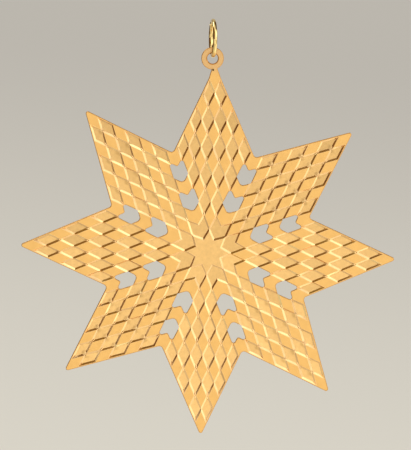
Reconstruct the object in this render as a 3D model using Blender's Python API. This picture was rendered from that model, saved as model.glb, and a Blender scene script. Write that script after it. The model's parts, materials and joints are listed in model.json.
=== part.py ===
"""Gold-plated star ornament: a flat eight-pointed star plate with sunk tiles, hung on a split jump ring.

Metres, +Z up. The star faces -Y. The origin is the hang point, where a hook bears inside the top of the ring.
"""

import math

import bmesh
import bpy
from mathutils import Matrix, Vector

# Star outline, in the plane of the plate
ARMS = 8
POINT_RADIUS = 0.039
NOTCH_RADIUS = 0.02195
TIP_LEAN = 0.00087
TIP_ROUND = 0.00042
NOTCH_ROUND = 0.0007

# Tile lattice of one arm
TILES = 7
CENTRE_STAR_REACH = 0.00477
CENTRE_STAR_NOTCH = 0.00287
SHOULDER_TILE = 0.00177

# Sheet and the tiles sunk into its front
SHEET = 0.0005
TILE_DEPTH = 0.00025
SLOPE_WIDTH = 0.00034
BORDER_LAND = 0.00024

# Chevron cut-outs along the seams between arms, by their ring of tiles
CUTOUT_RINGS = (3, 5)
CUTOUT_OVERSIZE = 0.00013
CUTOUT_POINT_ROUND = 0.0008
CUTOUT_CORNER_ROUND = 0.0004

# Eye on the top point, measured from where that arm's edges would meet
EYE_RADIUS = 0.0023
EYE_HOLE_RADIUS = 0.0011
EYE_RISE = 0.00136
EYE_SIDE = -0.00063
NECK_HALF_WIDTH = 0.0006
NECK_AIM_DROP = 0.0013
DIMPLE_DROP = 0.00098
DIMPLE_SIDE = -0.00037
DIMPLE_LENGTH = 0.00052
DIMPLE_WIDTH = 0.00034
DIMPLE_DEPTH = 0.00025

# Jump ring
RING_OUTER_DIAMETER = 0.008
WIRE_DIAMETER = 0.0009
RING_YAW = math.radians(6.6)
RING_CUT_HEIGHT = math.radians(36.6)
RING_CUT_WIDTH = 0.0006
HANG_CLEARANCE = 0.00006

# Smoothness of the round shapes
HALF_ROUND_STEPS = 2
EYE_STEPS = 30
HOLE_STEPS = 24
DIMPLE_STEPS = 12
DIMPLE_RINGS = 7
RING_STEPS = 48
WIRE_BEVEL_RESOLUTION = 4
MERGE_DISTANCE = 0.000001

# Finishes
PLATE_COLOUR = (0.89, 0.52, 0.16)
PLATE_ROUGHNESS = 0.38
WIRE_COLOUR = (0.9, 0.64, 0.24)
WIRE_ROUGHNESS = 0.12

# Sizes that follow from those above
SECTOR = 2 * math.pi / ARMS
WIRE_RADIUS = WIRE_DIAMETER / 2
RING_RADIUS = RING_OUTER_DIAMETER / 2 - WIRE_RADIUS
RING_CENTRE_Z = -(RING_RADIUS - WIRE_RADIUS)
PIVOT_Z = RING_CENTRE_Z - RING_RADIUS
EYE_DROP = EYE_HOLE_RADIUS - WIRE_RADIUS - HANG_CLEARANCE
FRONT_Y = -SHEET / 2
EYE_ARM = 0


def remove_scene_objects():
    for item in list(bpy.data.objects):
        bpy.data.objects.remove(item, do_unlink=True)


def polar(radius, angle):
    """Point of the plate's plane: x to the right, y up, the angle clockwise from up."""
    return Vector((radius * math.sin(angle), radius * math.cos(angle)))


def turned(point, angle):
    """Point turned clockwise about the star's centre."""
    return Matrix.Rotation(-angle, 2) @ point


def fillet(before, corner, after, radius):
    """Arc of the given radius in place of a corner, as points from the first side to the second."""
    to_before = (before - corner).normalized()
    to_after = (after - corner).normalized()
    half_angle = to_before.angle(to_after) / 2
    bisector = (to_before + to_after).normalized()
    centre = corner + bisector * (radius / math.sin(half_angle))
    reach = radius / math.tan(half_angle)
    start = corner + to_before * reach - centre
    end = corner + to_after * reach - centre
    steps = 2 * HALF_ROUND_STEPS
    shares = [step / steps for step in range(steps + 1)]
    return [centre + radius * start.slerp(end, share) for share in shares]


def arm_lean(arm):
    """Neighbouring arms lean to opposite sides."""
    return -TIP_LEAN if arm % 2 == 0 else TIP_LEAN


def tip_point(arm):
    return Vector((arm_lean(arm), POINT_RADIUS))


def shoulder_point(arm, side):
    """Where the outermost tile row starts on an arm's edge, a short tile away from the notch."""
    notch = polar(NOTCH_RADIUS, side * SECTOR / 2)
    edge = (tip_point(arm) - notch).normalized()
    return notch + edge * SHOULDER_TILE


def seam_radius(step):
    share = (step - 1) / (TILES - 1)
    return CENTRE_STAR_NOTCH + share * (NOTCH_RADIUS - CENTRE_STAR_NOTCH)


def lattice_point(arm, right, left):
    """Lattice point in an arm's own axes, counted in tiles outward along its right and its left side."""
    if right == 0 and left == 0:
        return Vector((0, 0))
    if left == 0:
        return polar(seam_radius(right), SECTOR / 2)
    if right == 0:
        return polar(seam_radius(left), -SECTOR / 2)
    s = (right - 1) / (TILES - 1)
    t = (left - 1) / (TILES - 1)
    inner = Vector((0, CENTRE_STAR_REACH))
    inner_edge = inner.lerp(shoulder_point(arm, 1), s)
    outer_edge = shoulder_point(arm, -1).lerp(tip_point(arm), s)
    return inner_edge.lerp(outer_edge, t)


def border_line():
    """Lattice count of the line where the sunk tiles stop short of the outline."""
    edge_start = shoulder_point(EYE_ARM, 1)
    edge = (tip_point(EYE_ARM) - edge_start).normalized()
    across = lattice_point(EYE_ARM, TILES - 1, 1) - edge_start
    row_width = abs(edge.x * across.y - edge.y * across.x)
    return TILES - (BORDER_LAND + SLOPE_WIDTH / 2) / row_width


def eye_centre():
    return tip_point(EYE_ARM) + Vector((EYE_SIDE, EYE_RISE))


def eye_outline():
    """Outer rim of the eye, from the right of its neck over the top to the left."""
    neck = tip_point(EYE_ARM) - Vector((0, NECK_AIM_DROP)) - eye_centre()
    neck_half_angle = math.asin(NECK_HALF_WIDTH / EYE_RADIUS)
    start = math.atan2(neck.x, neck.y) - neck_half_angle
    span = 2 * (math.pi - neck_half_angle)
    angles = [start - span * step / EYE_STEPS for step in range(EYE_STEPS + 1)]
    return [eye_centre() + polar(EYE_RADIUS, angle) for angle in angles]


def tip_outline(arm):
    """Outline of an arm's last tile from its right edge to its left edge: the eye, or a rounded tip."""
    if arm == EYE_ARM:
        return eye_outline()
    right = lattice_point(arm, TILES, TILES - 1)
    left = lattice_point(arm, TILES - 1, TILES)
    return fillet(right, tip_point(arm), left, TIP_ROUND)


def notch_outline(arm, side):
    """Half of the rounded notch beside an arm, from the middle of its arc to the arm's own edge."""
    corner = polar(NOTCH_RADIUS, side * SECTOR / 2)
    next_tip = turned(tip_point(arm + side), side * SECTOR)
    return fillet(next_tip, corner, tip_point(arm), NOTCH_ROUND)[HALF_ROUND_STEPS:]


def is_sunk(right, left):
    """Every second ring of tiles is sunk, but along the seams only the innermost ring is."""
    ring = right + left
    in_border = max(right, left) >= TILES
    on_seam = min(right, left) == 0
    return ring % 2 == 1 and not in_border and (not on_seam or ring == 1)


def star_roll():
    """The plate hangs with its eye straight above its centre."""
    eye = eye_centre()
    return -math.atan2(eye.x, eye.y)


def plate_vector(arm, point, depth):
    """Point of an arm's own axes, placed in the hanging plate whose local origin is the swing axis."""
    placed = turned(point, arm * SECTOR + star_roll())
    centre_z = -EYE_DROP - eye_centre().length
    return Vector((placed.x, depth, centre_z + placed.y))


def add_face(mesh, arm, points):
    verts = [mesh.verts.new(plate_vector(arm, point, FRONT_Y)) for point in points]
    return mesh.faces.new(verts)


def add_arm_tiles(mesh, arm, sunk, level):
    """Faces of one arm's tiles, its border strips and its tip."""
    lines = [*range(TILES), border_line(), TILES]
    for right in range(TILES + 1):
        for left in range(TILES + 1):
            if min(right, left) >= TILES - 1:
                continue
            corners = ((right, left), (right + 1, left), (right + 1, left + 1), (right, left + 1))
            points = [lattice_point(arm, lines[a], lines[b]) for a, b in corners]
            if (right, left) == (TILES, 0):
                points[1:2] = notch_outline(arm, 1)
            if (right, left) == (0, TILES):
                points[3:] = reversed(notch_outline(arm, -1))
            face = add_face(mesh, arm, points)
            (sunk if is_sunk(right, left) else level).append(face)
    last = TILES - 1
    right_side = ((last, last), (border_line(), last), (TILES, last))
    left_side = ((last, TILES), (last, border_line()))
    points = [lattice_point(arm, a, b) for a, b in right_side]
    points += tip_outline(arm)
    points += [lattice_point(arm, a, b) for a, b in left_side]
    level.append(add_face(mesh, arm, points))


def sink_tiles(mesh, sunk, level):
    """Sinks the tiles between slopes whose middle, at half the depth, follows the lattice lines."""
    slopes = []
    for tiles in (sunk, level):
        inset = bmesh.ops.inset_region(mesh, faces=tiles, thickness=SLOPE_WIDTH / 2, use_even_offset=True)
        slopes += inset["faces"]
    floor, top, slope = ({vert for face in faces for vert in face.verts} for faces in (sunk, level, slopes))
    bmesh.ops.translate(mesh, verts=list(floor), vec=(0, TILE_DEPTH, 0))
    bmesh.ops.translate(mesh, verts=list(slope - floor - top), vec=(0, TILE_DEPTH / 2, 0))


def build_plate_mesh():
    """Front sheet with sunk tiles, a rim and a flat back."""
    mesh = bmesh.new()
    sunk = []
    level = []
    for arm in range(ARMS):
        add_arm_tiles(mesh, arm, sunk, level)
    bmesh.ops.remove_doubles(mesh, verts=mesh.verts[:], dist=MERGE_DISTANCE)
    bmesh.ops.recalc_face_normals(mesh, faces=mesh.faces[:])
    sink_tiles(mesh, sunk, level)
    outline = [edge for edge in mesh.edges if edge.is_boundary]
    rim = bmesh.ops.extrude_edge_only(mesh, edges=outline)["geom"]
    back_verts = [item for item in rim if isinstance(item, bmesh.types.BMVert)]
    bmesh.ops.translate(mesh, verts=back_verts, vec=(0, SHEET, 0))
    back_edges = [edge for edge in mesh.edges if edge.is_boundary]
    bmesh.ops.edgeloop_fill(mesh, edges=back_edges)
    bmesh.ops.recalc_face_normals(mesh, faces=mesh.faces[:])
    return mesh


def grown_outline(points, distance):
    """Outline moved outward by a distance, its points clockwise as seen from the front."""
    moved = []
    for index, corner in enumerate(points):
        before = (corner - points[index - 1]).normalized()
        after = (points[(index + 1) % len(points)] - corner).normalized()
        outward = Vector((-before.y, before.x)) + Vector((-after.y, after.x))
        moved.append(corner + outward * (distance / (1 + before.dot(after))))
    return moved


def cutout_outline(arm, ring):
    """Rounded chevron on the seam after an arm, in that arm's axes, clockwise."""
    next_arm = (arm + 1) % ARMS
    own_side = [lattice_point(arm, ring, 1), lattice_point(arm, ring + 1, 1)]
    far_side = [turned(lattice_point(next_arm, 1, ring + step), SECTOR) for step in (1, 0)]
    point = lattice_point(arm, ring, 0)
    tail = lattice_point(arm, ring + 1, 0)
    corners = grown_outline([point, *own_side, tail, *far_side], CUTOUT_OVERSIZE)
    outline = []
    for index, corner in enumerate(corners):
        radius = CUTOUT_POINT_ROUND if index == 0 else CUTOUT_CORNER_ROUND
        after = corners[(index + 1) % len(corners)]
        outline += fillet(corners[index - 1], corner, after, radius)
    return outline


def add_prism(mesh, arm, outline):
    """Cutting prism that stands out of both faces of the plate."""
    front = FRONT_Y - SHEET
    length = 3 * SHEET
    face = mesh.faces.new([mesh.verts.new(plate_vector(arm, point, front)) for point in outline])
    grown = bmesh.ops.extrude_face_region(mesh, geom=[face])["geom"]
    far_verts = [item for item in grown if isinstance(item, bmesh.types.BMVert)]
    bmesh.ops.translate(mesh, verts=far_verts, vec=(0, length, 0))


def add_dimple(mesh):
    """Oval pit in the front of the neck, below the eye."""
    place = plate_vector(EYE_ARM, tip_point(EYE_ARM) + Vector((DIMPLE_SIDE, -DIMPLE_DROP)), FRONT_Y)
    facing = Matrix.Rotation(math.pi / 2, 4, "X")
    size = Matrix.Diagonal((DIMPLE_WIDTH / 2, DIMPLE_LENGTH / 2, DIMPLE_DEPTH, 1))
    placed = Matrix.Translation(place) @ facing @ size
    bmesh.ops.create_uvsphere(mesh, u_segments=DIMPLE_STEPS, v_segments=DIMPLE_RINGS, radius=1, matrix=placed)


def build_cutter_mesh():
    """All the openings of the plate: the chevron cut-outs, the eye's hole and the dimple."""
    mesh = bmesh.new()
    for arm in range(ARMS):
        for ring in CUTOUT_RINGS:
            add_prism(mesh, arm, cutout_outline(arm, ring))
    hole_angles = [2 * math.pi * step / HOLE_STEPS for step in range(HOLE_STEPS)]
    add_prism(mesh, EYE_ARM, [eye_centre() + polar(EYE_HOLE_RADIUS, angle) for angle in hole_angles])
    add_dimple(mesh)
    bmesh.ops.recalc_face_normals(mesh, faces=mesh.faces[:])
    return mesh


def new_object(name, data, parent, location):
    item = bpy.data.objects.new(name, data)
    bpy.context.scene.collection.objects.link(item)
    item.parent = parent
    item.location = location
    return item


def object_from_bmesh(name, mesh, parent, location):
    data = bpy.data.meshes.new(name)
    mesh.to_mesh(data)
    mesh.free()
    return new_object(name, data, parent, location)


def gold_material(name, colour, roughness):
    material = bpy.data.materials.new(name)
    material.use_nodes = True
    shader = material.node_tree.nodes["Principled BSDF"]
    shader.inputs["Base Color"].default_value = (*colour, 1)
    shader.inputs["Metallic"].default_value = 1
    shader.inputs["Roughness"].default_value = roughness
    return material


def make_star_plate(parent):
    """Star plate, its origin on the axis that it swings about."""
    pivot = (0, 0, PIVOT_Z)
    plate = object_from_bmesh("star_plate", build_plate_mesh(), parent, pivot)
    cutter = object_from_bmesh("opening_cutter", build_cutter_mesh(), parent, pivot)
    cutter.hide_render = True
    cutter.display_type = "WIRE"
    openings = plate.modifiers.new("openings", "BOOLEAN")
    openings.operation = "DIFFERENCE"
    openings.solver = "EXACT"
    openings.object = cutter
    plate.data.materials.append(gold_material("satin_gold_plate", PLATE_COLOUR, PLATE_ROUGHNESS))


def make_jump_ring(parent):
    """Split ring of round wire, cut open on its rear strand, its origin at its centre."""
    half_cut = RING_CUT_WIDTH / RING_RADIUS / 2
    start = RING_CUT_HEIGHT + half_cut
    span = 2 * math.pi - 2 * half_cut
    curve = bpy.data.curves.new("jump_ring", "CURVE")
    curve.dimensions = "3D"
    curve.bevel_depth = WIRE_RADIUS
    curve.bevel_resolution = WIRE_BEVEL_RESOLUTION
    curve.use_fill_caps = True
    wire = curve.splines.new("POLY")
    wire.points.add(RING_STEPS)
    for step, point in enumerate(wire.points):
        angle = start + span * step / RING_STEPS
        point.co = (0, RING_RADIUS * math.cos(angle), RING_RADIUS * math.sin(angle), 1)
    wire.use_smooth = True
    ring = new_object("jump_ring", curve, parent, (0, 0, RING_CENTRE_Z))
    ring.rotation_euler.z = RING_YAW
    curve.materials.append(gold_material("polished_gold_wire", WIRE_COLOUR, WIRE_ROUGHNESS))


def main():
    remove_scene_objects()
    hang_point = new_object("hang_point", None, None, (0, 0, 0))
    make_jump_ring(hang_point)
    make_star_plate(hang_point)
    bpy.context.view_layer.update()


main()
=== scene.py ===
"""Gold-plated star ornament: the looks of a tiled star plate and of the split jump ring that it hangs on.

The file is laid out as an add-on and is run as a script. Metres, +Z up, the star's front with its sunk tiles
facing -Y.
"""

import json
import math
import random

import bpy
from bpy.props import FloatProperty, FloatVectorProperty, IntProperty, PointerProperty
from mathutils import Matrix, Vector


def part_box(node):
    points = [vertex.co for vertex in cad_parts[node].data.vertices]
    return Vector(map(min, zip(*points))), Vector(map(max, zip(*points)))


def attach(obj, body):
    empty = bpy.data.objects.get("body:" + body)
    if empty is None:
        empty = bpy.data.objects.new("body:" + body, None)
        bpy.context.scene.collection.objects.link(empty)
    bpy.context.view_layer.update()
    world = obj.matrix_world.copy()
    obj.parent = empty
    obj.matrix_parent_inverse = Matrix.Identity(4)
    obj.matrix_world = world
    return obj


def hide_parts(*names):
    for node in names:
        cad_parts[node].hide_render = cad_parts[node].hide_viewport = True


bl_info = {
    "name": "Gold-Plated Star Ornament",
    "version": (1, 0, 0),
    "blender": (4, 5, 0),
    "location": "3D View > Sidebar > Ornament",
    "description": "Models and finishes a tiled star plate, its jump ring and the stage they are shown on",
    "category": "Object",
}

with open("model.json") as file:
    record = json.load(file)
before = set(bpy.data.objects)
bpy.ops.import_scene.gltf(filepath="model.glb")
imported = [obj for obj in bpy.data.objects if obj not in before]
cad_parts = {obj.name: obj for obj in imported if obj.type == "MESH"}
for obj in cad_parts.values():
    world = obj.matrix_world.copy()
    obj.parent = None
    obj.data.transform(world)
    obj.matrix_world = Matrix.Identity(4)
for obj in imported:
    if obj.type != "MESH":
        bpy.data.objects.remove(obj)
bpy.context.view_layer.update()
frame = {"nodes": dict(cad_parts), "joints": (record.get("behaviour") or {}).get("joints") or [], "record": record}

# The plate and the ring as the frame holds them
PLATE_LOW, PLATE_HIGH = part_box("star_plate")
RING_LOW, RING_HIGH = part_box("jump_ring")
SWING_AXIS = Vector(frame["joints"][0]["pos_m"])
BACK_MOUNT = next(mount for mount in frame["record"]["mounts"] if mount["name"] == "back_face")
STAR_CENTRE = Vector((0, 0, BACK_MOUNT["pos_m"][2]))
RING_CENTRE = Vector((0, 0, (RING_LOW.z + RING_HIGH.z) / 2))
RING_RADIUS = RING_CENTRE.z - SWING_AXIS.z
WIRE_RADIUS = RING_HIGH.z - RING_CENTRE.z - RING_RADIUS

# How the faces of the plate are told apart
FLAT_FACING = 0.99
STEEPEST_SLOPE_FACING = 0.6
LEVEL_TOLERANCE = 0.00003
PIT_TOLERANCE = LEVEL_TOLERANCE / 2
BACK_TOLERANCE = LEVEL_TOLERANCE / 3
PIT_REACH = 0.006
MEETING_GAP = 0.0012
HALF_POINT_TURN = math.radians(22.5)

# Modelling tolerances and steps
MERGE_DISTANCE = 0.00002
WIRE_MERGE_DISTANCE = 0.000001
FLAT_ANGLE = math.radians(1)
SMOOTH_ANGLE = math.radians(40)
CORNER_ANGLE = math.radians(18)
WIRE_SIDES = 32
RING_STEPS = 128
WIRE_END_STEPS = 3

# Tones of single faces, with the sunk tiles painted paler towards the lowest point as painted light, unevenness of
# the gold, and where it fades into the duller eye
TONE_AND_LIGHT_ATTRIBUTE = "tile_tone_and_light"
PAINTED_LIGHT_FALL = 0.15
TONE_SPREAD = 0.035
SLOPE_SPREAD = 0.1
NOISE_DETAIL = 2
NOISE_LOW = 0.3
NOISE_HIGH = 0.7
PATCH_WIDTH = 0.0035
RUBBING_WIDTH = 0.0011
RUBBING_SPREAD = 0.12
EYE_FADE_START = 0.0056
EYE_FADE_END = 0.0042

# The stage
FLOOR_SIZE = 16
FLOOR_DROP = 0.6
FLOOR_FADE_START = 1.3
FLOOR_FADE_END = 4.2
FLOOR_FADE_AIM = (0.4, 1, 0)
FLOOR_ROUGHNESS = 0.9
WORLD_WHITE = (1, 0.99, 0.97)
BACKDROP_FADE_START = -0.25
BACKDROP_FADE_END = 0.35
RING_LAMP_DISTANCE = 0.2
STAR_CARD = (0.23, 0.116, 0.02)
HIGH_CARD = (0.33, 0.205, 0.033)
RING_CARD = (0.06, 0.035, 0.006)

# The picture's frame
IMAGE_WIDTH = 411
IMAGE_HEIGHT = 450
SENSOR = 36
CLIP_START = 0.01


class StarPlateSettings(bpy.types.PropertyGroup):
    """Sizes and colours of the star plate's finish."""

    rim_round: FloatProperty(
        name="Rim Round",
        description="Width of the rounding along the outline and the cut-outs",
        default=0.00015,
        min=0.00001,
        max=0.0002,
        precision=5,
        unit="LENGTH",
    )
    rim_steps: IntProperty(
        name="Rim Steps",
        description="Faces across each rounded rim",
        default=4,
        min=1,
        max=6,
    )
    hole_round: FloatProperty(
        name="Hole Round",
        description="Width of the rounding round the eye's hole",
        default=0.00022,
        min=0.00001,
        max=0.00024,
        precision=5,
        unit="LENGTH",
    )
    hole_reach: FloatProperty(
        name="Hole Reach",
        description="Distance from the middle of the eye within which a rim belongs to its hole",
        default=0.0016,
        precision=4,
        unit="LENGTH",
    )
    eye_radius: FloatProperty(
        name="Eye Radius",
        description="Radius of the eye, whose top is the top of the plate",
        default=0.0023,
        precision=4,
        unit="LENGTH",
    )
    edge_round: FloatProperty(
        name="Edge Round",
        description="Width of the rounding along the slopes round the sunk tiles",
        default=0.00004,
        min=0.00001,
        max=0.0001,
        precision=5,
        unit="LENGTH",
    )
    edge_steps: IntProperty(
        name="Edge Steps",
        description="Faces across each rounded edge of a slope",
        default=2,
        min=1,
        max=4,
    )
    corner_lift: FloatProperty(
        name="Corner Lift",
        description="How far the acute corners of the sunk tiles rise towards the level front",
        default=0.00019,
        min=0,
        max=0.00024,
        precision=5,
        unit="LENGTH",
    )
    corner_reach: FloatProperty(
        name="Corner Reach",
        description="Distance from an acute corner over which its rise fades out",
        default=0.00035,
        precision=5,
        unit="LENGTH",
    )
    meeting_lift: FloatProperty(
        name="Meeting Lift",
        description="How far obtuse corners of the sunk tiles rise where two meet in a slanting point",
        default=0.0002,
        min=0,
        max=0.00024,
        precision=5,
        unit="LENGTH",
    )
    meeting_reach: FloatProperty(
        name="Meeting Reach",
        description="Distance from a meeting obtuse corner over which its rise fades out",
        default=0.0008,
        precision=5,
        unit="LENGTH",
    )
    slope_cuts: IntProperty(
        name="Slope Cuts",
        description="Cuts along each edge of a four-sided sunk tile, for the rise of its corners",
        default=7,
        min=1,
        max=9,
    )
    centre_reach: FloatProperty(
        name="Centre Reach",
        description="How far the small central star reaches from the middle of the plate",
        default=0.004,
        precision=4,
        unit="LENGTH",
    )
    floor_shift: FloatProperty(
        name="Floor Shift",
        description="How far the corners of the sunk tiles stray from their even places",
        default=0.00003,
        min=0,
        max=0.0001,
        precision=5,
        unit="LENGTH",
    )
    floor_lift: FloatProperty(
        name="Floor Lift",
        description="How far the sunk tiles lie above the middle of their openings, for wider lower slopes",
        default=0.00005,
        min=0,
        max=0.0001,
        precision=5,
        unit="LENGTH",
    )
    seed: IntProperty(
        name="Seed",
        description="Start of the random tones and shifts of the sunk tiles",
        default=7,
        min=0,
    )
    level_colour: FloatVectorProperty(
        name="Level Gold",
        description="Gold of the level front: the border, the eye and the tiles between the sunk ones",
        subtype="COLOR",
        default=(0.885, 0.522, 0.169),
        min=0,
        max=1,
    )
    eye_colour: FloatVectorProperty(
        name="Eye",
        description="Duller gold of the eye",
        subtype="COLOR",
        default=(0.76, 0.47, 0.2),
        min=0,
        max=1,
    )
    sunk_colour: FloatVectorProperty(
        name="Sunk Tiles",
        description="Paler gold of the sunk tiles and the central star",
        subtype="COLOR",
        default=(0.872, 0.548, 0.209),
        min=0,
        max=1,
    )
    edge_colour: FloatVectorProperty(
        name="Slopes",
        description="Gold of the bright slopes round the sunk tiles",
        subtype="COLOR",
        default=(0.95, 0.6, 0.27),
        min=0,
        max=1,
    )
    # Partly painted shade: the rims are given a darker gold than the level front, to draw the dark outline.
    rim_colour_and_shade: FloatVectorProperty(
        name="Rims",
        description="Gold of the rounded rims and the cut edges",
        subtype="COLOR",
        default=(0.7, 0.385, 0.12),
        min=0,
        max=1,
    )
    # Painted shade: the browner colour darkens the hole's rounding beyond the shading that its shape gives.
    hole_shade_colour: FloatVectorProperty(
        name="Hole",
        description="Browner gold of the rounding round the eye's hole",
        subtype="COLOR",
        default=(0.6, 0.29, 0.08),
        min=0,
        max=1,
    )
    # Painted shade: the dark colour inside the pit stands in for the shade that falls there.
    pit_shade_colour: FloatVectorProperty(
        name="Pit",
        description="Dull dark gold inside the small pit below the eye",
        subtype="COLOR",
        default=(0.16, 0.12, 0.07),
        min=0,
        max=1,
    )


class JumpRingSettings(bpy.types.PropertyGroup):
    """Sizes and colour of the split jump ring."""

    turn: FloatProperty(
        name="Turn",
        description="Turn of the ring about the vertical, from edge-on",
        default=math.radians(6.6),
        subtype="ANGLE",
    )
    cut_height: FloatProperty(
        name="Cut Height",
        description="Angle of the ring's cut above its centre, on the rear strand",
        default=math.radians(36.6),
        subtype="ANGLE",
    )
    cut_width: FloatProperty(
        name="Cut Width",
        description="Gap between the two ends of the wire",
        default=0.0006,
        min=0,
        precision=4,
        unit="LENGTH",
    )
    end_round: FloatProperty(
        name="End Round",
        description="Width of the rounding round each cut end of the wire",
        default=0.00008,
        min=0.00001,
        precision=5,
        unit="LENGTH",
    )
    colour: FloatVectorProperty(
        name="Wire",
        description="Gold of the polished wire",
        subtype="COLOR",
        default=(0.92, 0.68, 0.28),
        min=0,
        max=1,
    )


class StageSettings(bpy.types.PropertyGroup):
    """Camera, light and floor that the ornament is shown with."""

    view_side: FloatProperty(
        name="View Side",
        description="Angle of the camera to the right of the star's front",
        default=math.radians(-0.37),
        subtype="ANGLE",
    )
    view_height: FloatProperty(
        name="View Height",
        description="Angle of the camera above the star's centre",
        default=math.radians(11.74),
        subtype="ANGLE",
    )
    view_roll: FloatProperty(
        name="View Roll",
        description="Turn of the camera about its own view",
        default=math.radians(1.41),
        subtype="ANGLE",
    )
    view_distance: FloatProperty(
        name="View Distance",
        description="Distance of the camera from the star's centre",
        default=0.828,
        unit="LENGTH",
    )
    focal_pixels: FloatProperty(
        name="Focal Length",
        description="Focal length of the camera in pixels of the picture",
        default=4020,
    )
    star_pixel: FloatVectorProperty(
        name="Star Pixel",
        description="Where the star's centre lies in the picture, in pixels from its top left corner",
        size=2,
        default=(207.8, 251.95),
    )
    near_floor: FloatVectorProperty(
        name="Near Floor",
        description="Colour of the floor towards the camera",
        subtype="COLOR",
        default=(0.745, 0.715, 0.634),
        min=0,
        max=1,
    )
    far_floor: FloatVectorProperty(
        name="Far Floor",
        description="Colour of the floor far behind the ornament",
        subtype="COLOR",
        default=(0.508, 0.484, 0.441),
        min=0,
        max=1,
    )


def select_only(piece):
    """Makes one object the only selected one, and the active one."""
    bpy.ops.object.select_all(action="DESELECT")
    piece.select_set(True)
    bpy.context.view_layer.objects.active = piece


def new_material(name):
    """Material with its node tree, and the Principled shader in it."""
    material = bpy.data.materials.new(name)
    material.use_nodes = True
    return material, material.node_tree.nodes["Principled BSDF"]


def add_node(material, kind, **values):
    """Shader node with the given properties or input values."""
    node = material.node_tree.nodes.new(kind)
    for name, value in values.items():
        socket = name.replace("_", " ").title()
        if socket in node.inputs:
            node.inputs[socket].default_value = value
        else:
            setattr(node, name, value)
    return node


def link(material, output, target):
    """Joins a node's output to another node's input."""
    material.node_tree.links.new(output, target)


def object_noise(material, wavelength):
    """Noise of a given wavelength in metres, on the piece's own coordinates."""
    place = add_node(material, "ShaderNodeTexCoord")
    noise = add_node(material, "ShaderNodeTexNoise", scale=1 / wavelength, detail=NOISE_DETAIL)
    link(material, place.outputs["Object"], noise.inputs["Vector"])
    return noise.outputs["Fac"]


def between(material, value, low, high):
    """A noise value spread over a range of numbers."""
    spread = add_node(material, "ShaderNodeMapRange")
    spread.inputs["From Min"].default_value = NOISE_LOW
    spread.inputs["From Max"].default_value = NOISE_HIGH
    spread.inputs["To Min"].default_value = low
    spread.inputs["To Max"].default_value = high
    link(material, value, spread.inputs["Value"])
    return spread.outputs["Result"]


def mix_colours(material, share, first, second):
    """Colour between two others by a share from 0 to 1."""
    mix = add_node(material, "ShaderNodeMix", data_type="RGBA")
    link(material, share, mix.inputs["Factor"])
    mix.inputs["A"].default_value = (*first, 1)
    mix.inputs["B"].default_value = (*second, 1)
    return mix.outputs["Result"]


def scaled(colour, factor):
    """Colour made darker or brighter by a factor, up to full brightness."""
    return tuple(min(1.0, part * factor) for part in colour)


def gold_finish(name, colour, roughness, tone, grain, grain_depth, patch=PATCH_WIDTH):
    """Gold plate with uneven tone in patches, uneven polish and a fine grain of a given width and depth."""
    material, shader = new_material(name)
    shader.inputs["Metallic"].default_value = 1
    unevenness = object_noise(material, wavelength=patch)
    share = between(material, unevenness, 0, 1)
    tint = mix_colours(material, share, scaled(colour, 1 - tone), scaled(colour, 1 + tone))
    link(material, tint, shader.inputs["Base Color"])
    rubbing = object_noise(material, wavelength=RUBBING_WIDTH)
    polish = between(material, rubbing, roughness * (1 - RUBBING_SPREAD), roughness * (1 + RUBBING_SPREAD))
    link(material, polish, shader.inputs["Roughness"])
    bump = add_node(material, "ShaderNodeBump", distance=grain_depth, strength=1.0)
    link(material, object_noise(material, wavelength=grain), bump.inputs["Height"])
    link(material, bump.outputs["Normal"], shader.inputs["Normal"])
    return material


def retint(material, second, share_output, blend_type="MIX"):
    """Mixes a second colour over a finish by a share, or by the whole where no share is given."""
    shader = material.node_tree.nodes["Principled BSDF"]
    tint = shader.inputs["Base Color"].links[0].from_socket
    mix = add_node(material, "ShaderNodeMix", data_type="RGBA", blend_type=blend_type)
    mix.inputs["Factor"].default_value = 1
    if share_output:
        link(material, share_output, mix.inputs["Factor"])
    link(material, tint, mix.inputs["A"])
    if isinstance(second, bpy.types.NodeSocket):
        link(material, second, mix.inputs["B"])
    else:
        mix.inputs["B"].default_value = (*second, 1)
    link(material, mix.outputs["Result"], shader.inputs["Base Color"])


def tone_by_face(material):
    """Multiplies a finish by the tone kept on each face: its random tone, and on the sunk tiles the painted light
    that makes them paler downwards.
    """
    tone = add_node(material, "ShaderNodeAttribute", attribute_name=TONE_AND_LIGHT_ATTRIBUTE)
    retint(material, tone.outputs["Fac"], None, "MULTIPLY")


def level_gold(settings):
    """Smooth satin gold of the plate's level front, duller on the eye."""
    material = gold_finish(
        "level_satin_gold",
        settings.level_colour,
        roughness=0.33,
        tone=0.02,
        grain=0.00022,
        grain_depth=0.000003,
    )
    place = add_node(material, "ShaderNodeTexCoord")
    axes = add_node(material, "ShaderNodeSeparateXYZ")
    link(material, place.outputs["Object"], axes.inputs["Vector"])
    fade = add_node(material, "ShaderNodeMapRange", interpolation_type="SMOOTHSTEP")
    fade.inputs["From Min"].default_value = PLATE_HIGH.z - EYE_FADE_START
    fade.inputs["From Max"].default_value = PLATE_HIGH.z - EYE_FADE_END
    link(material, axes.outputs["Z"], fade.inputs["Value"])
    retint(material, settings.eye_colour, fade.outputs["Result"])
    return material


def sunk_gold(settings):
    """Satin gold with a fine etched grain, a little different in tone from tile to tile, and painted paler towards
    the lowest point as painted light.
    """
    material = gold_finish(
        "sunk_etched_gold",
        settings.sunk_colour,
        roughness=0.36,
        tone=0.05,
        grain=0.00018,
        grain_depth=0.000004,
        patch=0.0007,
    )
    tone_by_face(material)
    return material


def slope_gold(settings):
    """Bright gold of the slopes round the sunk tiles, different in tone from slope to slope."""
    material = gold_finish(
        "bright_slope_gold",
        settings.edge_colour,
        roughness=0.16,
        tone=0.06,
        grain=0.00015,
        grain_depth=0.000001,
        patch=0.0008,
    )
    tone_by_face(material)
    return material


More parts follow.
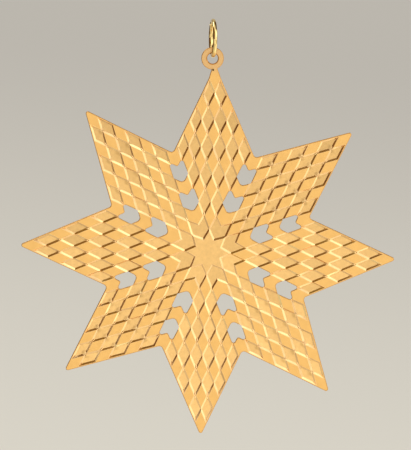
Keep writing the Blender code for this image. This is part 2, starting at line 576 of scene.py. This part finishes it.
def hole_gold(settings):
    """Gold of the rounding round the eye's hole: the rounding is real, its browner, darker colour is painted
    shade.
    """
    return gold_finish(
        "brown_hole_painted_shade",
        settings.hole_shade_colour,
        roughness=0.4,
        tone=0.06,
        grain=0.0002,
        grain_depth=0.000002,
    )


def rim_gold(settings):
    """Smooth gold of the rounded rims and the cut edges, darker than the level front: partly the rims' own finish,
    partly painted shade along the outline.
    """
    return gold_finish(
        "smooth_rim_gold",
        settings.rim_colour_and_shade,
        roughness=0.5,
        tone=0.05,
        grain=0.0002,
        grain_depth=0.000002,
    )


def back_gold(settings):
    """Plain satin gold of the back."""
    return gold_finish(
        "plain_back_gold",
        settings.level_colour,
        roughness=0.34,
        tone=0.03,
        grain=0.0003,
        grain_depth=0.000004,
    )


def pit_gold(settings):
    """Dull gold painted dark inside the pit below the eye, as painted shade in the pit."""
    # Painted shade: the pit is painted dark rather than darkened by its own depth.
    return gold_finish(
        "dull_pit_painted_shade",
        settings.pit_shade_colour,
        roughness=0.6,
        tone=0.1,
        grain=0.0001,
        grain_depth=0.000004,
    )


# Finishes of the plate, in the order of its materials
PLATE_FINISHES = {
    "level": level_gold,
    "sunk": sunk_gold,
    "slope": slope_gold,
    "rim": rim_gold,
    "back": back_gold,
    "hole": hole_gold,
    "pit": pit_gold,
}


def finish_place(name):
    """Place of a finish among the plate's materials."""
    return list(PLATE_FINISHES).index(name)


def has_finish(*names):
    """Test for the faces of the plate that have one of the named finishes."""
    places = [finish_place(name) for name in names]
    return lambda face: face.material_index in places


def polished_wire_gold(settings):
    """Polished gold of the jump ring, with faint tool marks."""
    return gold_finish(
        "polished_wire_gold",
        settings.colour,
        roughness=0.07,
        tone=0.03,
        grain=0.0004,
        grain_depth=0.000001,
    )


def copy_of_node(node_name, piece_name):
    """New object with its own copy of a node's mesh, merged and freed of the seams inside flat faces."""
    piece = bpy.data.objects.new(piece_name, frame["nodes"][node_name].data.copy())
    bpy.context.scene.collection.objects.link(piece)
    piece.data.materials.clear()
    select_only(piece)
    bpy.ops.object.mode_set(mode="EDIT")
    bpy.ops.mesh.select_all(action="SELECT")
    bpy.ops.mesh.customdata_custom_splitnormals_clear()
    bpy.ops.mesh.remove_doubles(threshold=MERGE_DISTANCE)
    bpy.ops.mesh.dissolve_limited(angle_limit=FLAT_ANGLE)
    bpy.ops.object.mode_set(mode="OBJECT")
    return piece


def is_flat(face):
    """True for a face that lies along the plate, at its front, its back or the floor of a sunk tile."""
    return abs(face.normal.y) > FLAT_FACING


def is_back(face):
    """True for a face that looks straight to the back."""
    return face.normal.y > FLAT_FACING


def is_slope(face):
    """True for the slopes round the sunk tiles."""
    return STEEPEST_SLOPE_FACING < -face.normal.y < FLAT_FACING


def is_cut_wall(mesh, face):
    """True for a wall of the outline or of an opening, which runs through to the back."""
    deepest = max(mesh.vertices[index].co.y for index in face.vertices)
    return abs(face.normal.y) < FLAT_FACING and deepest > PLATE_HIGH.y - LEVEL_TOLERANCE


def is_pit(mesh, face):
    """True for the inside of the small pit below the eye."""
    near_eye = face.center.z > PLATE_HIGH.z - PIT_REACH
    below_front = face.center.y > PLATE_LOW.y + PIT_TOLERANCE
    return near_eye and below_front and face.normal.y < 0 and not is_cut_wall(mesh, face)


def is_floor(mesh, face):
    """True for the floor of a sunk tile."""
    sunk = face.normal.y < -FLAT_FACING and face.center.y > PLATE_LOW.y + LEVEL_TOLERANCE
    return sunk and not is_pit(mesh, face)


def edge_sides(mesh):
    """The faces on the two sides of each edge, by the edge's pair of vertices."""
    sides = {}
    for face in mesh.polygons:
        for key in face.edge_keys:
            sides.setdefault(key, []).append(face)
    return {key: faces for key, faces in sides.items() if len(faces) == 2}


def edges_between(mesh, is_first, is_second):
    """Edges of a mesh that part two kinds of faces."""
    chosen = set()
    for key, (one, other) in edge_sides(mesh).items():
        if (is_first(one) and is_second(other)) or (is_first(other) and is_second(one)):
            chosen.add(key)
    return chosen


def slope_corners(mesh):
    """Edges where two slopes meet at a corner of a sunk tile."""
    chosen = set()
    for key, (one, other) in edge_sides(mesh).items():
        if is_slope(one) and is_slope(other) and one.normal.angle(other.normal) > CORNER_ANGLE:
            chosen.add(key)
    return chosen


def select_nothing(piece, kind):
    """Clears the selection in a piece's mesh and sets which kind of element is picked next."""
    select_only(piece)
    bpy.ops.object.mode_set(mode="EDIT")
    bpy.ops.mesh.select_mode(type=kind)
    bpy.ops.mesh.select_all(action="DESELECT")
    bpy.ops.object.mode_set(mode="OBJECT")


def select_edges(piece, keys):
    """Opens a piece for editing with only the given edges selected."""
    select_nothing(piece, "EDGE")
    for edge in piece.data.edges:
        edge.select = edge.key in keys
    bpy.ops.object.mode_set(mode="EDIT")


def select_faces(piece, is_wanted):
    """Opens a piece for editing with only the wanted faces selected."""
    select_nothing(piece, "FACE")
    for face in piece.data.polygons:
        face.select = is_wanted(face)
    bpy.ops.object.mode_set(mode="EDIT")


def bevel_edges(piece, keys, width, steps, finish):
    """Rounds the given edges of the plate and gives the rounding a finish by its name."""
    select_edges(piece, keys)
    bpy.ops.mesh.bevel(
        offset=width,
        segments=steps,
        affect="EDGES",
        clamp_overlap=False,
        loop_slide=False,
        material=finish_place(finish),
    )
    bpy.ops.object.mode_set(mode="OBJECT")


def refill_back(piece):
    """Closes the flat back anew inside its rounded rims, where the rounding has cut its old faces."""
    back_level = PLATE_HIGH.y - BACK_TOLERANCE
    select_faces(piece, lambda face: is_back(face) and face.center.y > back_level)
    bpy.ops.mesh.delete(type="FACE")
    bpy.ops.mesh.select_mode(type="EDGE")
    bpy.ops.mesh.select_non_manifold()
    bpy.ops.mesh.fill()
    bpy.ops.mesh.select_all(action="SELECT")
    bpy.ops.mesh.normals_make_consistent(inside=False)
    bpy.ops.object.mode_set(mode="OBJECT")


def smooth_faces(piece):
    """Smooth shading that keeps the flats looking flat and the corners of the slopes crisp."""
    select_only(piece)
    bpy.ops.object.shade_smooth_by_angle(angle=SMOOTH_ANGLE)
    select_edges(piece, slope_corners(piece.data))
    bpy.ops.mesh.mark_sharp()
    bpy.ops.object.mode_set(mode="OBJECT")
    bpy.ops.object.modifier_add(type="WEIGHTED_NORMAL")
    flats = piece.modifiers[-1]
    flats.keep_sharp = True
    bpy.ops.object.modifier_apply(modifier=flats.name)


def is_near_hole(place, settings):
    """True for a place at the rim of the eye's hole."""
    eye_height = PLATE_HIGH.z - settings.eye_radius
    return math.hypot(place.x, place.z - eye_height) < settings.hole_reach


def rim_edges(mesh, settings, at_hole):
    """Edges along the rims of the plate: those round the eye's hole, or all the others."""
    chosen = set()
    for key in edges_between(mesh, is_flat, lambda face: is_cut_wall(mesh, face)):
        middle = (mesh.vertices[key[0]].co + mesh.vertices[key[1]].co) / 2
        if is_near_hole(middle, settings) == at_hole:
            chosen.add(key)
    return chosen


def shift_floors(piece, settings):
    """Moves the sunk tiles up a little and their corners a little at random, as etching leaves them."""
    mesh = piece.data
    edges = set()
    for face in mesh.polygons:
        if is_floor(mesh, face):
            edges.update(face.edge_keys)
    select_edges(piece, edges)
    bpy.ops.transform.translate(value=(0, 0, settings.floor_lift))
    bpy.ops.transform.vertex_random(offset=settings.floor_shift, uniform=1, seed=settings.seed)
    bpy.ops.object.mode_set(mode="OBJECT")


def acute_corners(mesh, face):
    """Corners of a face that are sharper than a right angle."""
    places = [mesh.vertices[index].co for index in face.vertices]
    before = places[-1:] + places[:-1]
    after = places[1:] + places[:1]
    chosen = set()
    for index, place, last, following in zip(face.vertices, places, before, after):
        if (last - place).dot(following - place) > 0:
            chosen.add(index)
    return chosen


def is_in_slanting_point(place):
    """True for a place in one of the star's four slanting points."""
    across = abs(place.x - STAR_CENTRE.x)
    along = abs(place.z - STAR_CENTRE.z)
    return min(across, along) > math.tan(HALF_POINT_TURN) * max(across, along)


def meeting_corners(mesh, corners):
    """Those of the given corners in the slanting points that lie close to another one, across a crossing."""
    chosen = set()
    for index in corners:
        place = mesh.vertices[index].co
        gaps = [(mesh.vertices[other].co - place).length for other in corners if other != index]
        if min(gaps) < MEETING_GAP and is_in_slanting_point(place):
            chosen.add(index)
    return chosen


def four_sided_floors(mesh):
    """Floors of the whole sunk tiles, which no cut-out or border trims."""
    return [face for face in mesh.polygons if is_floor(mesh, face) and len(face.vertices) == 4]


def corners_to_raise(mesh):
    """The acute corners of the sunk tiles, and the obtuse ones that meet."""
    acute = set()
    obtuse = set()
    for floor in four_sided_floors(mesh):
        sharp = acute_corners(mesh, floor)
        acute.update(sharp)
        obtuse.update(set(floor.vertices) - sharp)
    return acute, meeting_corners(mesh, obtuse)


def cut_slopes(piece, cuts):
    """Cuts the edges of the four-sided floors, and the slopes along them into triangles."""
    edges = set()
    for floor in four_sided_floors(piece.data):
        edges.update(floor.edge_keys)
    select_edges(piece, edges)
    bpy.ops.mesh.subdivide(number_cuts=cuts)
    bpy.ops.object.mode_set(mode="OBJECT")
    select_faces(piece, is_slope)
    bpy.ops.mesh.quads_convert_to_tris(quad_method="BEAUTY", ngon_method="BEAUTY")
    bpy.ops.object.mode_set(mode="OBJECT")


def lift_corners(piece, corners, lift, reach):
    """Raises corners of the sunk tiles with the floor near them, so that the slopes run out there."""
    select_faces(piece, has_finish("sunk"))
    bpy.ops.mesh.hide(unselected=True)
    bpy.ops.mesh.select_mode(type="VERT")
    bpy.ops.mesh.select_all(action="DESELECT")
    bpy.ops.object.mode_set(mode="OBJECT")
    for index in corners:
        piece.data.vertices[index].select = True
    bpy.ops.object.mode_set(mode="EDIT")
    bpy.ops.transform.translate(
        value=(0, -lift, 0),
        use_proportional_edit=True,
        use_proportional_connected=True,
        proportional_edit_falloff="SMOOTH",
        proportional_size=reach,
    )
    bpy.ops.mesh.reveal(select=False)
    bpy.ops.object.mode_set(mode="OBJECT")


def raise_corners(piece, settings):
    """Raises the corners of the sunk tiles at the crossings of the lattice."""
    acute, meeting = corners_to_raise(piece.data)
    cut_slopes(piece, settings.slope_cuts)
    lift_corners(piece, acute, settings.corner_lift, settings.corner_reach)
    lift_corners(piece, meeting, settings.meeting_lift, settings.meeting_reach)


def round_edges(piece, settings):
    """Rounds the edges of the slopes, the rim of the eye's hole and all the other rims."""
    mesh = piece.data
    slope_edges = edges_between(mesh, has_finish("level", "sunk"), has_finish("slope"))
    bevel_edges(piece, slope_edges, settings.edge_round, settings.edge_steps, "slope")
    hole_edges = rim_edges(mesh, settings, at_hole=True)
    bevel_edges(piece, hole_edges, settings.hole_round, settings.rim_steps, "hole")
    outer_edges = rim_edges(mesh, settings, at_hole=False)
    bevel_edges(piece, outer_edges, settings.rim_round, settings.rim_steps, "rim")


def plate_finish(mesh, face, settings):
    """Name of the finish that a face of the plate takes."""
    middle = face.center - STAR_CENTRE
    in_centre = math.hypot(middle.x, middle.z) < settings.centre_reach
    at_front = abs(face.center.y - PLATE_LOW.y) < LEVEL_TOLERANCE
    if is_pit(mesh, face):
        return "pit"
    if is_back(face):
        return "back"
    if is_flat(face):
        return "level" if at_front and not in_centre else "sunk"
    if is_near_hole(face.center, settings):
        return "hole"
    return "slope" if is_slope(face) else "rim"


def give_finishes(mesh, settings):
    """Gives the plate its materials, and each face its finish."""
    for finish in PLATE_FINISHES.values():
        mesh.materials.append(finish(settings))
    for face in mesh.polygons:
        face.material_index = finish_place(plate_finish(mesh, face, settings))


def finish_back(mesh):
    """Gives the back its finish again, where it was closed anew."""
    for face in mesh.polygons:
        if is_back(face):
            face.material_index = finish_place("back")


def vary_tones(mesh, seed):
    """Gives each slope and each sunk tile a random tone of its own, and paints the tiles paler towards the lowest
    point as painted light.
    """
    tones = random.Random(seed)
    layer = mesh.attributes.new(TONE_AND_LIGHT_ATTRIBUTE, "FLOAT", "FACE")
    for face, layer_value in zip(mesh.polygons, layer.data):
        height = (face.center.z - STAR_CENTRE.z) / (PLATE_HIGH.z - STAR_CENTRE.z)
        if is_slope(face):
            layer_value.value = tones.gauss(1, SLOPE_SPREAD)
        else:
            # Painted light: the tone rises towards the bottom of the star, where more light was seen to fall.
            layer_value.value = tones.gauss(1 - PAINTED_LIGHT_FALL * height, TONE_SPREAD)


class ORNAMENT_OT_star_plate(bpy.types.Operator):
    """Model the star plate with softly rounded edges and give each of its surfaces a finish"""

    bl_idname = "ornament.star_plate"
    bl_label = "Star Plate"

    def execute(self, context):
        settings = context.scene.star_plate
        piece = copy_of_node("star_plate", "tiled_star")
        mesh = piece.data
        vary_tones(mesh, settings.seed)
        give_finishes(mesh, settings)
        shift_floors(piece, settings)
        raise_corners(piece, settings)
        round_edges(piece, settings)
        refill_back(piece)
        smooth_faces(piece)
        finish_back(mesh)
        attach(piece, "star_plate")
        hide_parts("star_plate")
        return {"FINISHED"}


def spin_wire(settings):
    """Open ring of round wire, spun from a circle round the ring's centre."""
    half_cut = settings.cut_width / RING_RADIUS / 2
    bpy.ops.object.select_all(action="DESELECT")
    bpy.ops.mesh.primitive_circle_add(vertices=WIRE_SIDES, radius=WIRE_RADIUS, location=RING_CENTRE)
    wire = bpy.context.object
    bpy.ops.object.mode_set(mode="EDIT")
    bpy.ops.transform.translate(value=(0, RING_RADIUS, 0))
    bpy.ops.mesh.spin(
        steps=RING_STEPS,
        angle=2 * math.pi - 2 * half_cut,
        center=RING_CENTRE,
        axis=(1, 0, 0),
    )
    close_wire_ends(settings.end_round)
    bpy.ops.object.mode_set(mode="OBJECT")
    wire.rotation_euler = (settings.cut_height + half_cut, 0, settings.turn)
    bpy.ops.object.transform_apply(location=True, rotation=True, scale=True)
    return wire


def close_wire_ends(rounding):
    """Caps both ends of the wire that is open for editing, and rounds their rims."""
    bpy.ops.mesh.select_all(action="SELECT")
    bpy.ops.mesh.remove_doubles(threshold=WIRE_MERGE_DISTANCE)
    bpy.ops.mesh.select_all(action="DESELECT")
    bpy.ops.mesh.select_mode(type="EDGE")
    bpy.ops.mesh.select_non_manifold()
    bpy.ops.mesh.edge_face_add()
    bpy.ops.mesh.bevel(offset=rounding, segments=WIRE_END_STEPS, affect="EDGES")
    bpy.ops.mesh.select_all(action="SELECT")
    bpy.ops.mesh.normals_make_consistent(inside=False)


class ORNAMENT_OT_jump_ring(bpy.types.Operator):
    """Spin the split jump ring from round wire and polish it"""

    bl_idname = "ornament.jump_ring"
    bl_label = "Jump Ring"

    def execute(self, context):
        settings = context.scene.jump_ring
        wire = spin_wire(settings)
        wire.name = "split_ring"
        select_only(wire)
        bpy.ops.object.shade_smooth_by_angle(angle=SMOOTH_ANGLE)
        wire.data.materials.append(polished_wire_gold(settings))
        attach(wire, "jump_ring")
        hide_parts("jump_ring")
        return {"FINISHED"}


def floor_paint(settings):
    """Matt pale floor painted darker smoothly towards the back, as painted shade where the light falls off."""
    material, shader = new_material("matt_pale_floor")
    shader.inputs["Roughness"].default_value = FLOOR_ROUGHNESS
    shader.inputs["Specular IOR Level"].default_value = 0
    place = add_node(material, "ShaderNodeTexCoord")
    along = add_node(material, "ShaderNodeVectorMath", operation="DOT_PRODUCT")
    along.inputs[1].default_value = FLOOR_FADE_AIM
    link(material, place.outputs["Object"], along.inputs[0])
    # Painted shade: the floor's colour darkens with distance, standing in for the fall-off of the light.
    depth = add_node(material, "ShaderNodeMapRange", interpolation_type="SMOOTHSTEP")
    depth.inputs["From Min"].default_value = FLOOR_FADE_START
    depth.inputs["From Max"].default_value = FLOOR_FADE_END
    link(material, along.outputs["Value"], depth.inputs["Value"])
    paint = mix_colours(material, depth.outputs["Result"], settings.near_floor, settings.far_floor)
    link(material, paint, shader.inputs["Base Color"])
    return material


def add_floor(settings):
    """Large floor below the hanging ornament."""
    bpy.ops.mesh.primitive_plane_add(size=FLOOR_SIZE, location=(0, 0, STAR_CENTRE.z - FLOOR_DROP))
    floor = bpy.context.object
    floor.name = "floor"
    bpy.ops.object.transform_apply(location=True, rotation=True, scale=True)
    floor.data.materials.append(floor_paint(settings))


def facing(position, target):
    """Turn of a lamp or card at a position that looks at a target."""
    return (position - target).to_track_quat("Z", "Y").to_euler()


def add_softbox(name, position, target, width, height, brightness):
    """Rectangular lamp of a given radiance that shows only in the metal's reflections."""
    bpy.ops.object.light_add(type="AREA", location=position, rotation=facing(position, target))
    lamp = bpy.context.object
    lamp.name = name
    lamp.data.shape = "RECTANGLE"
    lamp.data.size = width
    lamp.data.size_y = height
    lamp.data.energy = brightness * math.pi * width * height
    lamp.visible_camera = False
    lamp.visible_diffuse = False


def dark_card_paint(colour):
    """Matt dark brown of the cards that darken the metal's reflections."""
    material, shader = new_material("matt_dark_card")
    shader.inputs["Base Color"].default_value = (*colour, 1)
    shader.inputs["Roughness"].default_value = 1
    return material


def add_dark_card(position, target, width, height, colour):
    """Matt dark card that shows only in the metal's reflections."""
    bpy.ops.mesh.primitive_plane_add(size=1, location=position, rotation=facing(position, target))
    card = bpy.context.object
    card.name = "dark_card"
    card.scale = (width, height, 1)
    bpy.ops.object.transform_apply(location=True, rotation=True, scale=True)
    card.data.materials.append(dark_card_paint(colour))
    card.visible_camera = False
    card.visible_diffuse = False
    card.visible_shadow = False


def world_light(settings):
    """Even white light whose rear half shows as the grey backdrop in reflections and to the camera."""
    world = bpy.data.worlds.new("studio_light")
    world.use_nodes = True
    background = world.node_tree.nodes["Background"]
    background.inputs["Strength"].default_value = 1
    place = add_node(world, "ShaderNodeTexCoord")
    axes = add_node(world, "ShaderNodeSeparateXYZ")
    link(world, place.outputs["Generated"], axes.inputs["Vector"])
    rear = add_node(world, "ShaderNodeMapRange", interpolation_type="SMOOTHSTEP")
    rear.inputs["From Min"].default_value = BACKDROP_FADE_START
    rear.inputs["From Max"].default_value = BACKDROP_FADE_END
    link(world, axes.outputs["Y"], rear.inputs["Value"])
    path = add_node(world, "ShaderNodeLightPath")
    seen = add_node(world, "ShaderNodeMath", operation="SUBTRACT")
    seen.inputs[0].default_value = 1
    link(world, path.outputs["Is Diffuse Ray"], seen.inputs[1])
    share = add_node(world, "ShaderNodeMath", operation="MULTIPLY")
    link(world, rear.outputs["Result"], share.inputs[0])
    link(world, seen.outputs["Value"], share.inputs[1])
    tint = mix_colours(world, share.outputs["Value"], WORLD_WHITE, settings.far_floor)
    link(world, tint, background.inputs["Color"])
    bpy.context.scene.world = world


def add_star_lights():
    """Softboxes to the right of the star, below it and low in front of it, and dark cards to its left."""
    upper_right = STAR_CENTRE + Vector((0.66, -0.38, 0.46))
    high = STAR_CENTRE + Vector((0.32, -0.42, 0.59))
    low_right = STAR_CENTRE + Vector((0.4, -0.1, -0.46))
    below = STAR_CENTRE + Vector((0.12, 0.02, -0.5))
    front = STAR_CENTRE + Vector((0.2, -1.2, -0.32))
    high_left = STAR_CENTRE + Vector((-0.36, -0.275, 0.435))
    upper_left = STAR_CENTRE + Vector((-0.476, -0.362, 0.184))
    left = STAR_CENTRE + Vector((-0.45, -0.08, 0.28))
    low_left = STAR_CENTRE + Vector((-0.45, -0.08, -0.16))
    to_the_right = Vector((1, 0, 0))
    add_softbox("softbox_upper_right", upper_right, STAR_CENTRE, width=1.1, height=1.1, brightness=0.45)
    add_softbox("softbox_high", high, STAR_CENTRE, width=0.3, height=0.3, brightness=0.28)
    add_softbox("softbox_below", below, STAR_CENTRE, width=0.55, height=0.4, brightness=0.29)
    add_softbox("softbox_low_right", low_right, STAR_CENTRE, width=0.75, height=0.75, brightness=0.6)
    add_softbox("front_fill", front, STAR_CENTRE, width=1.4, height=0.4, brightness=0.5)
    add_dark_card(high_left, STAR_CENTRE, width=0.85, height=0.31, colour=HIGH_CARD)
    add_dark_card(upper_left, STAR_CENTRE, width=0.85, height=0.29, colour=STAR_CARD)
    add_dark_card(left, left + to_the_right, width=0.55, height=0.44, colour=STAR_CARD)
    add_dark_card(low_left, low_left + to_the_right, width=0.55, height=0.12, colour=STAR_CARD)


def add_ring_lights():
    """Small softboxes and dark cards behind and beside the ring, for its polished wire."""
    behind_left = RING_CENTRE + RING_LAMP_DISTANCE * Vector((-0.63, 0.35, 0.69))
    behind_right = RING_CENTRE + RING_LAMP_DISTANCE * Vector((0.63, 0.35, 0.69))
    right = RING_CENTRE + RING_LAMP_DISTANCE * Vector((0.95, -0.05, 0.35))
    left = RING_CENTRE + RING_LAMP_DISTANCE * Vector((-0.85, 0.5, -0.15))
    add_softbox("softbox_ring_top", behind_left, RING_CENTRE, width=0.107, height=0.107, brightness=2.5)
    add_softbox("softbox_ring_right", right, RING_CENTRE, width=0.17, height=0.08, brightness=1.4)
    add_dark_card(behind_right, RING_CENTRE, width=0.23, height=0.23, colour=RING_CARD)
    add_dark_card(left, RING_CENTRE, width=0.3, height=0.2, colour=RING_CARD)


def camera_axes(settings):
    """The camera's right, up and back directions."""
    side, height, roll = settings.view_side, settings.view_height, settings.view_roll
    back = Vector(
        (math.sin(side) * math.cos(height), -math.cos(side) * math.cos(height), math.sin(height))
    )
    right = Vector((0, 0, 1)).cross(back).normalized()
    turn = Matrix.Rotation(roll, 3, back)
    return turn @ right, turn @ back.cross(right), back


def add_camera(settings):
    """Camera at the picture's angle, aimed so that the star's centre falls on its pixel."""
    right, up, back = camera_axes(settings)
    metres_per_pixel = settings.view_distance / settings.focal_pixels
    shift_right = (settings.star_pixel[0] - IMAGE_WIDTH / 2) * metres_per_pixel
    shift_down = (settings.star_pixel[1] - IMAGE_HEIGHT / 2) * metres_per_pixel
    position = STAR_CENTRE + back * settings.view_distance
    aim = STAR_CENTRE - right * shift_right + up * shift_down
    back = (position - aim).normalized()
    right = up.cross(back).normalized()
    axes = Matrix((right, back.cross(right), back)).transposed()
    bpy.ops.object.camera_add(location=position, rotation=axes.to_euler())
    camera = bpy.context.object
    camera.data.sensor_width = SENSOR
    camera.data.lens = settings.focal_pixels / max(IMAGE_WIDTH, IMAGE_HEIGHT) * SENSOR
    camera.data.clip_start = CLIP_START
    bpy.context.scene.camera = camera


class ORNAMENT_OT_stage(bpy.types.Operator):
    """Add the floor, the light and the camera"""

    bl_idname = "ornament.stage"
    bl_label = "Stage"

    def execute(self, context):
        settings = context.scene.ornament_stage
        add_floor(settings)
        world_light(settings)
        add_star_lights()
        add_ring_lights()
        add_camera(settings)
        context.scene.view_settings.view_transform = "Standard"
        return {"FINISHED"}


class ORNAMENT_PT_sidebar(bpy.types.Panel):
    """Sizes, colours and steps of the star ornament"""

    bl_idname = "ORNAMENT_PT_sidebar"
    bl_label = "Star Ornament"
    bl_space_type = "VIEW_3D"
    bl_region_type = "UI"
    bl_category = "Ornament"

    def draw(self, context):
        groups = (
            (ORNAMENT_OT_star_plate, context.scene.star_plate),
            (ORNAMENT_OT_jump_ring, context.scene.jump_ring),
            (ORNAMENT_OT_stage, context.scene.ornament_stage),
        )
        for operator, settings in groups:
            box = self.layout.box()
            box.operator(operator.bl_idname)
            for name in settings.__annotations__:
                box.prop(settings, name)


CLASSES = (
    StarPlateSettings,
    JumpRingSettings,
    StageSettings,
    ORNAMENT_OT_star_plate,
    ORNAMENT_OT_jump_ring,
    ORNAMENT_OT_stage,
    ORNAMENT_PT_sidebar,
)


def register():
    """Registers the classes and adds their settings to the scene."""
    for item in CLASSES:
        bpy.utils.register_class(item)
    bpy.types.Scene.star_plate = PointerProperty(type=StarPlateSettings)
    bpy.types.Scene.jump_ring = PointerProperty(type=JumpRingSettings)
    bpy.types.Scene.ornament_stage = PointerProperty(type=StageSettings)


def unregister():
    """Takes the settings and the classes away again."""
    del bpy.types.Scene.ornament_stage
    del bpy.types.Scene.jump_ring
    del bpy.types.Scene.star_plate
    for item in reversed(CLASSES):
        bpy.utils.unregister_class(item)


def main():
    """Registers the add-on, models and finishes each piece and sets the stage."""
    register()
    bpy.ops.ornament.star_plate()
    bpy.ops.ornament.jump_ring()
    bpy.ops.ornament.stage()


if __name__ == "__main__":
    main()
